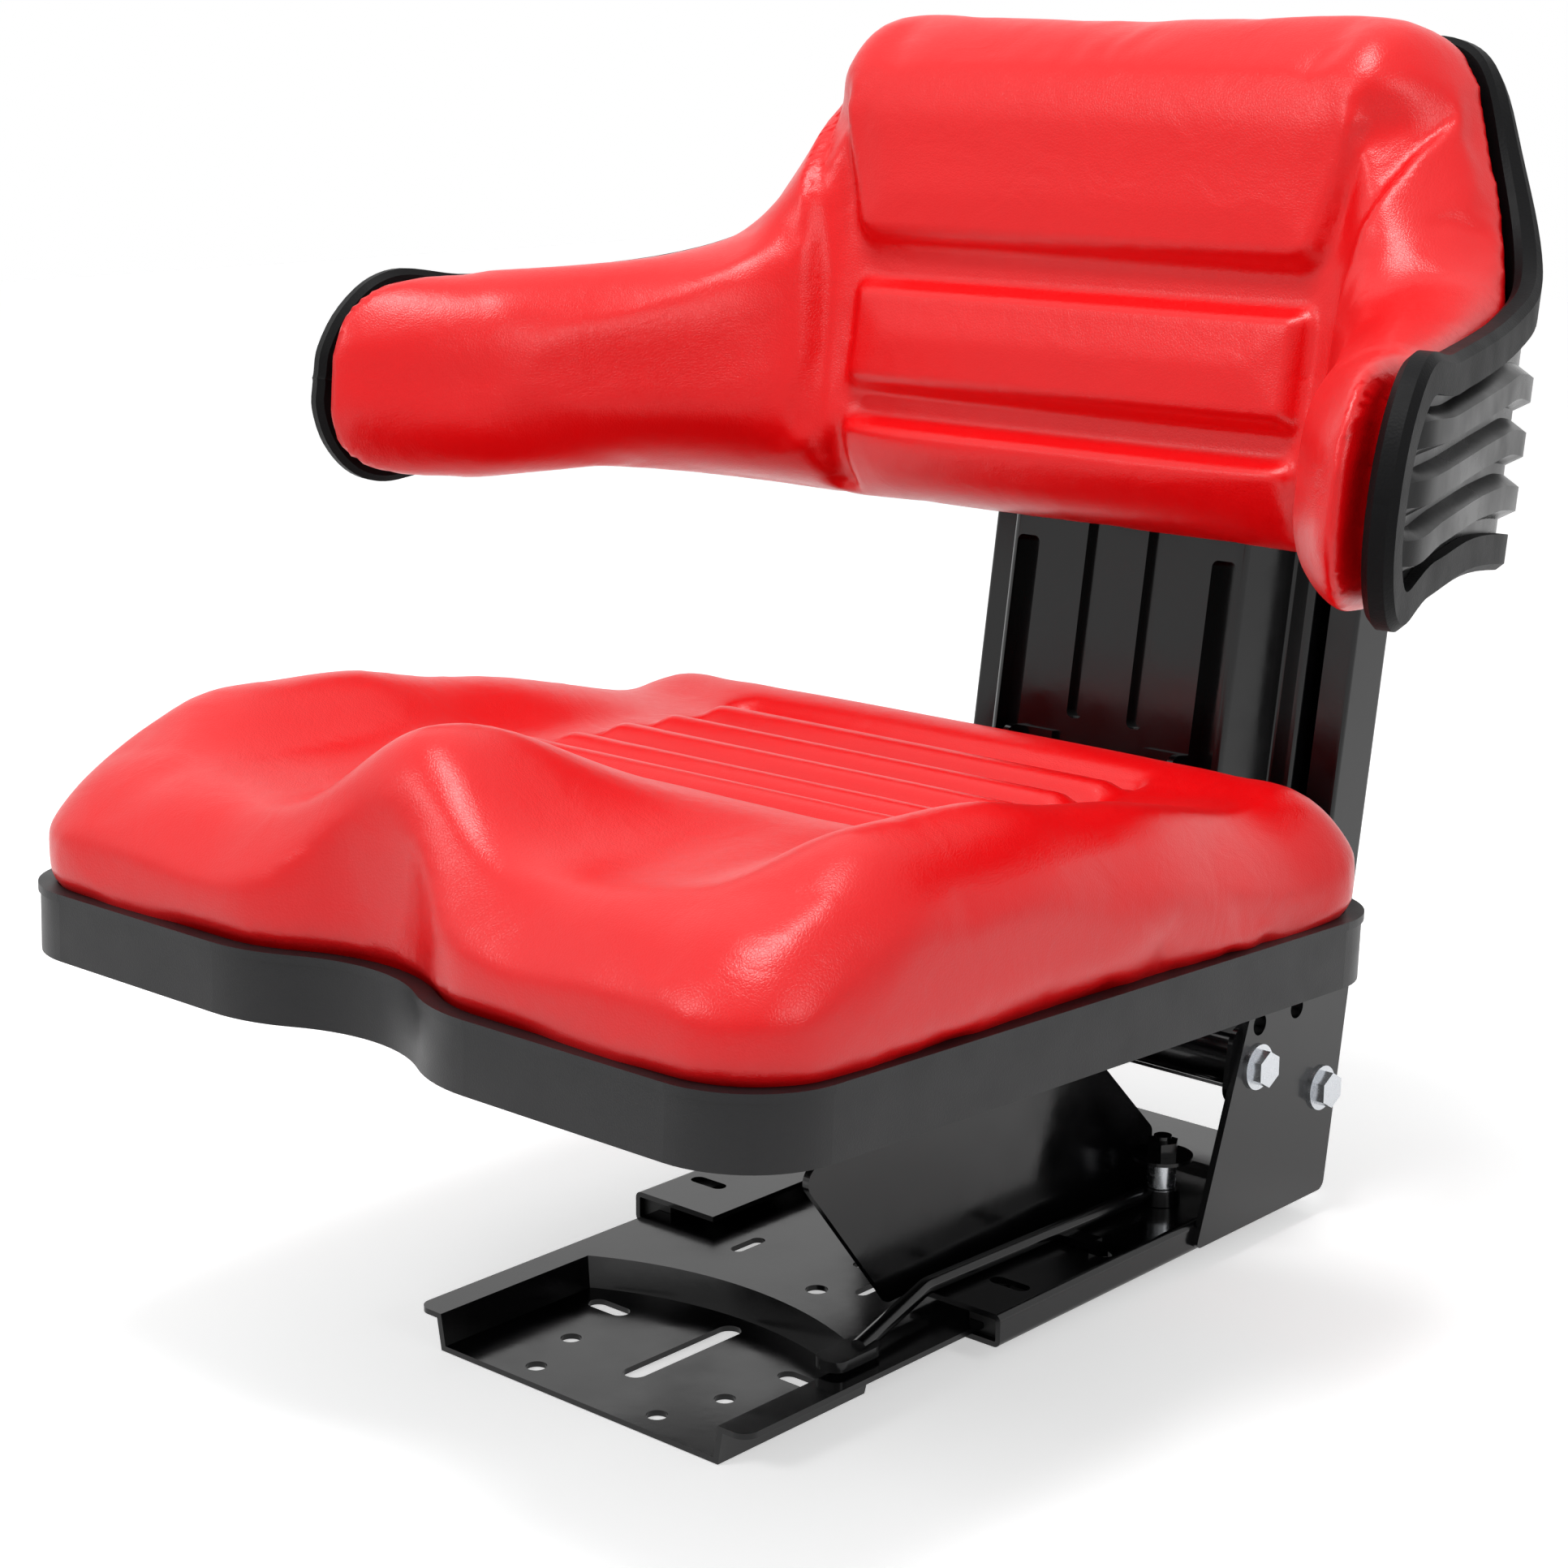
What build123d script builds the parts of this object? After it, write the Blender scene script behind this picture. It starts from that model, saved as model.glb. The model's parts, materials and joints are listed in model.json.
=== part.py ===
"""Suspension seat of a small tractor, in millimetres. +Z is up and the sitter faces -Y."""

import os
from math import atan2, cos, exp, hypot, radians, sin, sqrt, tan

from build123d import *

# Base pan. The origin is the middle of its four mounting slots, on its underside.
PAN_LENGTH = 440.0
PAN_SHEET = 3.0
PAN_TOP = 20.0
LIP_HALF = 115.0
TRAY_HALF = 94.0
TRAY_SIDE = 104.0
TRAY_MIDDLE = 128.0
TRAY_DRAFT = 10.0
SLOT_SPACING_X = 135.0
SLOT_SPACING_Y = 256.0
SLOT_LENGTH = 27.0
SLOT_WIDTH = 11.0
PAN_HOLE_RADIUS = 5.5
LATCH_HOLE_RADIUS = 4.0
LATCH_HOLE_X = 107.0
LATCH_HOLE_PITCH = 15.0

# Slide rails and what stands on them
RAIL_SHEET = 3.0
RAIL_HALF = 129.0
RAIL_INNER = 70.0
RAIL_FRONT = -45.0
RAIL_REAR = 250.0
RAIL_TOP = 29.0
RAIL_BOTTOM = 11.0
GLIDE_PLAY = 0.2
BRIDGE_HALF = 76.0
BRIDGE_TOP = 118.0
BRIDGE_SHEET = 4.0
BRIDGE_FRONT = -40.0
SHORT_WALL = 86.0

# Side plates, with their bolts given as (y, z)
SIDE_PLATE = 4.0
FRONT_BOLT = (176.0, 107.0)
REAR_BOLT = (242.0, 78.0)
BOLT_RADIUS = 6.0
SMALL_BOLT = 4.0
BOLT_PLAY = 0.25
TUBE_RADIUS = 14.0

# Reclined frame: y where its front plane meets the floor, and the lean
BACK_FOOT = 210.0
RECLINE = 9.0
FRAME_SHEET = 3.0
FRAME_DEPTH = 37.0
FRAME_LOW = 64.0
FRAME_HIGH = 560.0
FRAME_LIP = 18.0

# Carrier plate that rides in the frame
CARRIER_LOW = 174.0
CARRIER_HIGH = 520.0
CARRIER_FRONT = -46.0
CARRIER_HALF = 80.0
CARRIER_SHOULDER = 90.0
CARRIER_LEG = 104.0
CARRIER_SHEET = 3.0
ROLLER_PLAY = 0.15
ROLLER_WIDTH = 13.0
ROLLER_HEIGHTS = (205.0, 478.0)
PIN_RADIUS = 5.0
PIN_PLAY = 0.05
SPRING_X = 40.0
SPRING_RADIUS = 14.0
SPRING_WIRE = 4.0
SPRING_LOW = 340.0
DAMPER_RADIUS = 13.0
DAMPER_LOW = 240.0
DAMPER_HIGH = 420.0
ROD_RADIUS = 5.0
SPRING_DEPTH = -14.0
BAR_LOW = 536.0
BAR_HEIGHT = 10.0
BACKREST_BOLTS = ((44.0, 421.0), (44.0, 486.0))
ARM_BOLTS = ((40.0, 194.0), (40.0, 240.0))

# Seat, in a frame of its own that tips back and starts at the foot of the edge band
SEAT_HEIGHT = 205.0
SEAT_TILT = 2.2
SEAT_HALF = 251.0
SEAT_FRONT = -366.0
SEAT_REAR = 114.0
SEAT_CORNER = 48.0
NOTCH_DEPTH = 24.0
NOTCH_HALF = 85.0
BAND_HEIGHT = 34.0
BAND_THICK = 8.0
BAND_BEAD = 1.2
SEAT_PAN_Z = 6.0
SEAT_PAN_SHEET = 2.5
CROWN_DROP = 34.0
CROWN_WIDTH = 44.0
FLUTES = 6
FLUTE_FRONT = -146.0
FLUTE_PITCH = 38.0
FLUTE_HALF = 138.0
FLUTE_RADIUS = 9.0

# Backrest, given in plan in the reclined frame and in heights above the floor
SHELL_SHEET = 2.5
SHELL_STANDOFF = 7.5
SHELL_STRAIGHT = 180.0
SHELL_BEND = 90.0
ARM_FLARE = 18.0
ARM_LENGTH = 248.0
SHELL_END = SHELL_STRAIGHT + SHELL_BEND * radians(90 - ARM_FLARE) + ARM_LENGTH
PAD_FRONT = -130.0
CREASE_X = 150.0
BACK_TOP = 660.0
BACK_BOTTOM = 386.0
ARM_TOP = 524.0
ARM_BOTTOM = 408.0
ARM_END = 56.0
SHELL_INSET = 10.0
SHOULDER_X = 205.0
SHOULDER_SLOPE = 26.0
STATIONS = 20
RIB_DEPTH = 8.0
RIB_SPACING = 27.0
TRIM_REACH = 13.0
TRIM_INSIDE = 5.5
TRIM_OUTSIDE = 6.0
TRIM_EDGE = 5.0
TRIM_BEVEL = 3.5
TRIM_PLAY = 0.3
PAD_PLAY = 0.6
PANEL_GROOVE = 10.0
PANEL_GROOVE_DEPTH = 7.0
GROOVE_HEIGHTS = (452.0, 530.0)

# Release lever of the slide
LEVER_PIVOT = (97.0, 140.0)
LEVER_RADIUS = 4.5
LEVER_REST = 0.4

SEAT = Pos(0, 0, SEAT_HEIGHT) * Rot(-SEAT_TILT, 0, 0)
BACK = Pos(0, BACK_FOOT, 0) * Rot(-RECLINE, 0, 0)


def box(x0, x1, y0, y1, z0, z1):
    """Box between two corners."""
    return Pos((x0 + x1) / 2, (y0 + y1) / 2, (z0 + z1) / 2) * Box(x1 - x0, y1 - y0, z1 - z0)


def both(part):
    """The part and its mirror image on the other side."""
    return part + mirror(part, about=Plane.YZ)


def area(*corners):
    """Flat face with corners (u, v, radius)."""
    face = make_face(Polyline(*[(u, v) for u, v, _ in corners], close=True))
    for u, v, radius in corners:
        if radius:
            face = fillet(face.vertices().sort_by_distance((u, v))[0], radius)
    return face


def along_x(face, x0, x1):
    """Face in (y, z) carried from x0 to x1."""
    return Pos(x0, 0, 0) * extrude(Plane.YZ * face, x1 - x0)


def along_y(face, y0, y1):
    """Face in (x, z) carried from y0 to y1."""
    return Pos(0, y1, 0) * extrude(Plane.XZ * face, y1 - y0)


def along_z(face, z0, z1):
    """Face in (x, y) carried from z0 to z1."""
    return Pos(0, 0, z0) * extrude(face, z1 - z0)


def rod_x(radius, x0, x1, y, z):
    """Round bar along X."""
    return Pos((x0 + x1) / 2, y, z) * Rot(0, 90, 0) * Cylinder(radius, x1 - x0)


def rod_y(radius, x, y0, y1, z):
    """Round bar along Y."""
    return Pos(x, (y0 + y1) / 2, z) * Rot(90, 0, 0) * Cylinder(radius, y1 - y0)


def rod_z(radius, x, y, z0, z1):
    """Round bar along Z."""
    return Pos(x, y, (z0 + z1) / 2) * Cylinder(radius, z1 - z0)


def hexagon(across, z0, z1):
    """Hexagonal prism across flats."""
    return along_z(RegularPolygon(across / 2, 6, major_radius=False), z0, z1)


def flange_bolt(radius, length, across):
    """Flange bolt along Z. The flange sits on z = 0 and the shank points down."""
    flange = Pos(0, 0, radius * 0.15) * Cylinder(radius * 2.15, radius * 0.3)
    head = hexagon(across, radius * 0.3, radius * 1.4)
    return flange + head + rod_z(radius, 0, 0, -length, 0)


def flange_nut(radius, across):
    """Flange nut along Z. The flange sits on z = 0 and the nut rises."""
    nut = Cylinder(radius * 2.1, radius * 0.3, align=(Align.CENTER, Align.CENTER, Align.MIN))
    nut += hexagon(across, radius * 0.3, radius * 1.6)
    return nut - rod_z(radius + BOLT_PLAY, 0, 0, -1, radius * 2)


def smooth(t):
    """Eased step from 0 to 1."""
    t = min(1.0, max(0.0, t))
    return t * t * (3 - 2 * t)


def tray(grow):
    """Outline of the front tray, grown outwards."""
    half = TRAY_HALF + grow
    front = -PAN_LENGTH / 2 - 20
    side = -PAN_LENGTH / 2 + TRAY_SIDE + grow
    middle = -PAN_LENGTH / 2 + TRAY_MIDDLE + grow
    edges = Polyline((-half, side), (-half, front), (half, front), (half, side))
    return make_face(edges + ThreePointArc((half, side), (0, middle), (-half, side)))


def make_base_pan():
    """Pressed pan: a sheet with lips, sunk to the floor in a tray at each end."""
    half = PAN_LENGTH / 2
    sheet = along_z(RectangleRounded(2 * LIP_HALF, PAN_LENGTH, 8), PAN_TOP - PAN_SHEET, PAN_TOP)
    outer = extrude(tray(PAN_SHEET), PAN_TOP - PAN_SHEET / 2, taper=-TRAY_DRAFT)
    outer &= box(-LIP_HALF, LIP_HALF, -half, 0, 0, PAN_TOP)
    inner = Pos(0, 0, PAN_SHEET) * extrude(tray(0), PAN_TOP, taper=-TRAY_DRAFT)
    pan = sheet + outer + mirror(outer, about=Plane.XZ)
    pan -= inner + mirror(inner, about=Plane.XZ)
    slot = extrude(SlotOverall(SLOT_LENGTH, SLOT_WIDTH), PAN_TOP, both=True)
    for x in (-SLOT_SPACING_X / 2, SLOT_SPACING_X / 2):
        for y in (-SLOT_SPACING_Y / 2, SLOT_SPACING_Y / 2):
            pan -= Pos(x, y, 0) * slot
    for x, from_end in ((42.4, 15), (54.2, 51)):
        for end in (-1, 1):
            pan -= both(rod_z(PAN_HOLE_RADIUS, x, end * (half - from_end), -1, PAN_TOP + 1))
    long_slot = extrude(SlotOverall(82, 13), PAN_TOP, both=True)
    pan -= Pos(0, -half + 78, 0) * Rot(0, 0, 90) * long_slot
    short_slot = extrude(SlotOverall(24, 8), PAN_TOP + 1, both=True)
    pan -= both(Pos(44, -45, 0) * Rot(0, 0, 90) * short_slot)
    pan -= rod_z(6, 24, -66, -1, PAN_TOP + 1) + rod_z(4, 19, -25, -1, PAN_TOP + 1)
    for step in range(-2, 9):
        pan -= rod_z(LATCH_HOLE_RADIUS, LATCH_HOLE_X, step * LATCH_HOLE_PITCH, 0, PAN_TOP + 1)
    return pan


def make_rail():
    """Left slide rail, a channel folded round the lip of the pan."""
    t = RAIL_SHEET
    section = area(
        (RAIL_HALF, RAIL_BOTTOM, 4), (RAIL_HALF, RAIL_TOP, 4), (RAIL_INNER, RAIL_TOP, 0),
        (RAIL_INNER, RAIL_TOP - t, 0), (RAIL_HALF - t, RAIL_TOP - t, 1),
        (RAIL_HALF - t, RAIL_BOTTOM + t, 1), (LIP_HALF - 10, RAIL_BOTTOM + t, 0),
        (LIP_HALF - 10, RAIL_BOTTOM, 0),
    )
    rail = along_y(section, RAIL_FRONT, RAIL_REAR)
    slot = extrude(SlotOverall(24, 9), 20, both=True)
    rail -= Pos(RAIL_HALF - 22, RAIL_FRONT + 36, RAIL_TOP) * slot
    x, y = LEVER_PIVOT
    window = box(LATCH_HOLE_X - 8, LATCH_HOLE_X + 17, y - 88, y - 70, RAIL_TOP - 8, RAIL_TOP + 1)
    return rail - window - rod_z(BOLT_RADIUS - 1 + BOLT_PLAY, x, y, RAIL_TOP - 8, RAIL_TOP + 1)


def make_glides():
    """Four plastic glides between the lips of the pan and the rails."""
    low = RAIL_BOTTOM + RAIL_SHEET
    high = RAIL_TOP - RAIL_SHEET
    reach = LIP_HALF - 9
    outside = area((reach, low, 0), (RAIL_HALF - RAIL_SHEET, low, 1.2),
                   (RAIL_HALF - RAIL_SHEET, high, 1.2), (reach, high, 0))
    lip_low = PAN_TOP - PAN_SHEET - GLIDE_PLAY
    lip_high = PAN_TOP + GLIDE_PLAY
    section = outside - area((0, lip_low, 0), (LIP_HALF + GLIDE_PLAY, lip_low, 0),
                             (LIP_HALF + GLIDE_PLAY, lip_high, 0), (0, lip_high, 0))
    front = along_y(section, RAIL_FRONT + 4, RAIL_FRONT + 69)
    rear = along_y(section, RAIL_REAR - 95, RAIL_REAR - 30)
    return both(front + rear)


def make_side_plate():
    """Left side plate, welded to the rail and bolted to the back frame."""
    plate = area((123, 15, 3), (250, 15, 6), (273, 166, 6), (222, 157, 20), (170, 145, 6))
    plate = along_x(plate, RAIL_HALF, RAIL_HALF + SIDE_PLATE)
    for y, z in (FRONT_BOLT, REAR_BOLT, (177, 131), (214, 132)):
        plate -= rod_x(BOLT_RADIUS + BOLT_PLAY, RAIL_HALF - 1, RAIL_HALF + SIDE_PLATE + 1, y, z)
    return plate


def make_cross_member():
    """Plate that ties the rails together behind the side plates' bolts, with its rear edge folded down."""
    plate = box(-RAIL_HALF, RAIL_HALF, 196, 248, RAIL_TOP, RAIL_TOP + 4)
    inner = RAIL_INNER - 3
    return plate + box(-inner, inner, 244, 248, PAN_TOP + 3, RAIL_TOP + 1)


def make_bridge():
    """Folded bridge under the seat, with a long wall on the left rail and a short one on the right."""
    side = area((-70, RAIL_TOP, 0), (160, RAIL_TOP, 0), (160, 62, 6),
                (104, BRIDGE_TOP, 8), (-141, BRIDGE_TOP, 8))
    bridge = along_x(side, -BRIDGE_HALF, BRIDGE_HALF)
    inside = BRIDGE_HALF - BRIDGE_SHEET
    under = BRIDGE_TOP - BRIDGE_SHEET
    bridge -= box(-inside, inside, -200, 200, 0, under)
    bridge -= box(-BRIDGE_HALF - 1, inside, -200, BRIDGE_FRONT, 0, BRIDGE_TOP + 1)
    bridge -= box(-BRIDGE_HALF - 1, -inside, -200, SHORT_WALL, 0, under)
    return bridge - both(rod_z(SMALL_BOLT + BOLT_PLAY, 24, -10, under - 4, BRIDGE_TOP + 1))


def make_bump_stops():
    """Two rubber stops on top of the bridge."""
    stop = rod_z(15, 24, -10, BRIDGE_TOP, BRIDGE_TOP + 16)
    stop += rod_z(11, 24, -10, BRIDGE_TOP, BRIDGE_TOP + 26)
    stop += rod_z(SMALL_BOLT, 24, -10, BRIDGE_TOP - 9, BRIDGE_TOP)
    return both(stop)


def make_side_bolts():
    """Flange bolts through the side plates."""
    bolts = Part()
    for (y, z), length in ((FRONT_BOLT, 32), (REAR_BOLT, 20)):
        turn = Pos(RAIL_HALF + SIDE_PLATE, y, z) * Rot(0, 90, 0)
        bolts += turn * flange_bolt(BOLT_RADIUS, length, 18)
    return both(bolts)


def make_side_nuts():
    """Nuts of the rear side bolts, inside the frame."""
    y, z = REAR_BOLT
    nut = Pos(RAIL_HALF - FRAME_SHEET, y, z) * Rot(0, -90, 0) * flange_nut(BOLT_RADIUS, 18)
    return both(nut)


def make_cross_tube():
    """Tube between the ears of the frame, threaded at its ends for the front bolts."""
    y, z = FRONT_BOLT
    half = RAIL_HALF - FRAME_SHEET
    tube = rod_x(TUBE_RADIUS, -half, half, y, z)
    return tube - rod_x(BOLT_RADIUS + BOLT_PLAY, -half - 1, half + 1, y, z)


def make_back_frame():
    """Channel frame that the carrier's rollers run in, with ears for the front bolts."""
    t = FRAME_SHEET
    half = RAIL_HALF
    outer = area((-half, 0, 3), (half, 0, 3), (half, FRAME_DEPTH, 4), (-half, FRAME_DEPTH, 4))
    frame = along_z(outer, FRAME_LOW, FRAME_HIGH)
    frame -= box(t - half, half - t, t, FRAME_DEPTH - t, 0, FRAME_HIGH + 1)
    frame -= box(FRAME_LIP - half, half - FRAME_LIP, -1, t + 1, 0, FRAME_HIGH + 1)
    window = area((-64, 250, 20), (64, 250, 20), (64, 440, 20), (-64, 440, 20))
    frame -= along_y(window, FRAME_DEPTH - 2 * t, FRAME_DEPTH + 1)
    ear = area((-72, 82, 10), (-72, 120, 10), (2, 150, 0), (2, FRAME_LOW, 0))
    frame += both(along_x(ear, half - t, half))
    frame = BACK * frame
    for y, z in (FRONT_BOLT, REAR_BOLT):
        frame -= rod_x(BOLT_RADIUS + BOLT_PLAY, -half - 1, half + 1, y, z)
    return frame


def make_carrier():
    """Pressed hat-section plate that carries seat and backrest up and down the frame."""
    t = CARRIER_SHEET
    front = CARRIER_FRONT
    half = CARRIER_HALF
    leg = CARRIER_LEG
    step = CARRIER_SHOULDER
    outer = area((-leg, 25, 0), (-leg, -8, 4), (-step, -8, 2), (-half, front, 6),
                 (half, front, 6), (step, -8, 2), (leg, -8, 4), (leg, 25, 0))
    hat = along_z(outer, CARRIER_LOW, CARRIER_HIGH)
    hollow = area((t - leg, 30, 0), (t - leg, t - 8, 1), (t - step, t - 8, 2), (t - half, front + t, 3),
                  (half - t, front + t, 3), (step - t, t - 8, 2), (leg - t, t - 8, 1), (leg - t, 30, 0))
    hat -= along_z(hollow, CARRIER_LOW - 1, CARRIER_HIGH - t)
    hat -= box(-leg - 1, leg + 1, -5, 40, CARRIER_HIGH - t - 1, CARRIER_HIGH + 1)
    for x, wide, low, high, depth in ((68, 16, 206, 372, 11), (21, 11, 271, 424, 5)):
        for side in (-x, x):
            middle = (low + high) / 2
            ridge = Pos(side, middle) * RectangleRounded(wide + 2 * t, high - low + 2 * t, t + 4)
            groove = Pos(side, middle) * RectangleRounded(wide, high - low, 4)
            hat += along_y(ridge, front + t / 2, front + depth + t)
            hat -= along_y(groove, front - 1, front + depth)
    top = CARRIER_HIGH
    hat -= both(rod_z(SPRING_RADIUS + 3, SPRING_X, SPRING_DEPTH, top - 2 * t, top + 1))
    hat -= rod_z(ROD_RADIUS + BOLT_PLAY, 0, SPRING_DEPTH, top - 2 * t, top + 1)
    for z in ROLLER_HEIGHTS:
        hat -= rod_x(PIN_RADIUS + PIN_PLAY, -leg - 1, leg + 1, FRAME_DEPTH / 2, z)
    for x, z in BACKREST_BOLTS + ARM_BOLTS:
        hat -= both(rod_y(SMALL_BOLT + BOLT_PLAY, x, front - 1, front + t + 1, z))
    return BACK * hat


def make_roller(side, z):
    """Roller between the lip and the web of the frame."""
    radius = FRAME_DEPTH / 2 - FRAME_SHEET - ROLLER_PLAY
    x0 = CARRIER_LEG + 5
    roller = rod_x(radius, x0, x0 + ROLLER_WIDTH, FRAME_DEPTH / 2, z)
    roller -= rod_x(PIN_RADIUS + PIN_PLAY, x0 - 1, x0 + ROLLER_WIDTH + 1, FRAME_DEPTH / 2, z)
    return BACK * (roller if side > 0 else mirror(roller, about=Plane.YZ))


def make_roller_pins():
    """Headed pins of the rollers, riveted into the legs of the carrier."""
    pins = Part()
    for z in ROLLER_HEIGHTS:
        inner = CARRIER_LEG - CARRIER_SHEET
        pins += rod_x(PIN_RADIUS, inner, CARRIER_LEG + 5 + ROLLER_WIDTH + 1.5, FRAME_DEPTH / 2, z)
        pins += rod_x(PIN_RADIUS + 3, inner - 3, inner, FRAME_DEPTH / 2, z)
        pins += rod_x(PIN_RADIUS + 3, CARRIER_LEG, CARRIER_LEG + 4.7, FRAME_DEPTH / 2, z)
    return BACK * both(pins)


def make_spring_anchors():
    """Tabs on the inside of the carrier that hold the lower ends of the springs."""
    inside = CARRIER_FRONT + CARRIER_SHEET
    return BACK * both(box(SPRING_X - 10, SPRING_X + 14, inside, 2, SPRING_LOW - 10, SPRING_LOW))


def make_spring_bar():
    """Bar across the top of the frame that holds the upper ends of the springs."""
    half = RAIL_HALF - FRAME_SHEET
    high = BAR_LOW + BAR_HEIGHT
    bar = box(-half, half, SPRING_DEPTH - 16, FRAME_DEPTH - FRAME_SHEET, BAR_LOW, high)
    return BACK * (bar - both(box(half - 30, half + 1, -60, FRAME_SHEET, BAR_LOW - 1, high + 1)))


def make_spring(side):
    """Suspension spring, drawn as the tube its coils fill."""
    spring = rod_z(SPRING_RADIUS, SPRING_X, SPRING_DEPTH, SPRING_LOW, BAR_LOW)
    spring -= rod_z(SPRING_RADIUS - SPRING_WIRE, SPRING_X, SPRING_DEPTH, SPRING_LOW - 1, BAR_LOW + 1)
    return BACK * (spring if side > 0 else mirror(spring, about=Plane.YZ))


def make_damper_bracket():
    """Bracket on the web of the frame under the damper."""
    return BACK * box(-16, 16, -28, FRAME_DEPTH - FRAME_SHEET, DAMPER_LOW - 12, DAMPER_LOW)


def make_damper_body():
    """Damper tube with its bore and gland."""
    floor = DAMPER_LOW + 5
    body = rod_z(DAMPER_RADIUS, 0, SPRING_DEPTH, DAMPER_LOW, DAMPER_HIGH)
    body -= rod_z(DAMPER_RADIUS - 2, 0, SPRING_DEPTH, floor, DAMPER_HIGH - 14)
    return BACK * (body - rod_z(ROD_RADIUS + PIN_PLAY, 0, SPRING_DEPTH, floor, DAMPER_HIGH + 1))


def make_damper_rod():
    """Damper rod with its piston, held in the top of the carrier."""
    seat = CARRIER_HIGH - CARRIER_SHEET
    rod = rod_z(ROD_RADIUS, 0, SPRING_DEPTH, DAMPER_HIGH - 100, CARRIER_HIGH + 9)
    rod += rod_z(ROD_RADIUS + 4, 0, SPRING_DEPTH, seat - 5, seat)
    bore = DAMPER_RADIUS - 2 - PIN_PLAY
    return BACK * (rod + rod_z(bore, 0, SPRING_DEPTH, DAMPER_HIGH - 112, DAMPER_HIGH - 100))


def make_damper_nut():
    """Nut on the end of the damper rod."""
    return BACK * Pos(0, SPRING_DEPTH, CARRIER_HIGH) * flange_nut(ROD_RADIUS, 15)


def make_rebound_stops():
    """Rubber pads under the spring bar that the carrier rises against."""
    return BACK * both(rod_z(8, 66, -20, CARRIER_HIGH + 0.5, BAR_LOW))


def make_seat_arm(side):
    """Arm from the front of the carrier to the underside of the seat pan."""
    low = SEAT_PAN_Z
    arm = SEAT * box(32, 60, -230, 150, low - 4, low)
    web = area((-230, low, 0), (-230, low - 14, 4), (120, low - 30, 0), (150, low - 30, 0), (150, low, 0))
    arm += SEAT * along_x(web, 56, 60)
    front = CARRIER_FRONT
    foot_low = CARRIER_LOW + 4
    foot = box(32, 60, front - 4, front, foot_low, 262)
    brace = area((front, foot_low, 0), (front, 262, 4), (front - 14, 262, 8), (front - 26, 216, 0),
                 (front - 60, 214, 0), (front - 60, foot_low, 6))
    foot += along_x(brace, 56, 60)
    for x, z in ARM_BOLTS:
        foot -= rod_y(SMALL_BOLT + BOLT_PLAY, x, front - 5, front + 1, z)
    arm += BACK * foot
    return arm if side > 0 else mirror(arm, about=Plane.YZ)


def bolts_through(places, head_v, nut_v):
    """Bolts along the frame's depth, with their heads at head_v and nuts at nut_v."""
    bolts = Part()
    nuts = Part()
    for x, z in places:
        bolt = flange_bolt(SMALL_BOLT, nut_v - head_v + 2 * SMALL_BOLT, 13)
        bolts += Pos(x, head_v, z) * Rot(90, 0, 0) * bolt
        nuts += Pos(x, nut_v, z) * Rot(-90, 0, 0) * flange_nut(SMALL_BOLT, 13)
    return BACK * both(bolts), BACK * both(nuts)


def seat_outline(inset):
    """Outline of the seat in plan, with the hollow in the middle of its front."""
    half = SEAT_HALF
    r = SEAT_CORNER
    start = (0, SEAT_FRONT + NOTCH_DEPTH)
    middle = (NOTCH_HALF / 2, SEAT_FRONT + NOTCH_DEPTH / 2)
    end = (NOTCH_HALF, SEAT_FRONT)
    hollow = TangentArc(start, middle, tangent=(1, 0))
    swell = TangentArc(middle, end, tangent=hollow % 1)
    line = hollow + swell + Line(end, (half - r, SEAT_FRONT))
    line += TangentArc((half - r, SEAT_FRONT), (half, SEAT_FRONT + r), tangent=(1, 0))
    line += Line((half, SEAT_FRONT + r), (half, SEAT_REAR - r))
    line += TangentArc((half, SEAT_REAR - r), (half - r, SEAT_REAR), tangent=(0, 1))
    line += Line((half - r, SEAT_REAR), (0, SEAT_REAR))
    face = make_face(line.edges() + mirror(line, about=Plane.YZ).edges())
    return offset(face, amount=-inset) if inset else face


def seat_margin(x, y):
    """Distance from a point of the seat in plan to its outline."""
    near = 1 - smooth((y - SEAT_FRONT) / 160)
    y -= NOTCH_DEPTH * (1 - smooth(abs(x) / NOTCH_HALF)) * near
    qx = abs(x) - SEAT_HALF + SEAT_CORNER
    qy = abs(y - (SEAT_FRONT + SEAT_REAR) / 2) - (SEAT_REAR - SEAT_FRONT) / 2 + SEAT_CORNER
    return SEAT_CORNER - hypot(max(qx, 0), max(qy, 0)) - min(max(qx, qy), 0)


def seat_top(x, y):
    """Height of the cushion above the foot of the band, rounded off towards its outline."""
    a = abs(x)
    height = 95 - 12 * smooth((y + 190) / 90) * smooth((90 - y) / 70)
    fore = 1 - smooth((y + 300) / 150)
    height += 44 * exp(-((x / 48) ** 2)) * fore
    height -= 5 * exp(-(((a - 95) / 45) ** 2)) * fore
    length = smooth((y + 345) / 90) * (1 - smooth((y + 120) / 190))
    height += 27 * smooth((a - 150) / 55) * length
    return height - CROWN_DROP * max(0.0, 1 - seat_margin(x, y) / CROWN_WIDTH) ** 2


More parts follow.
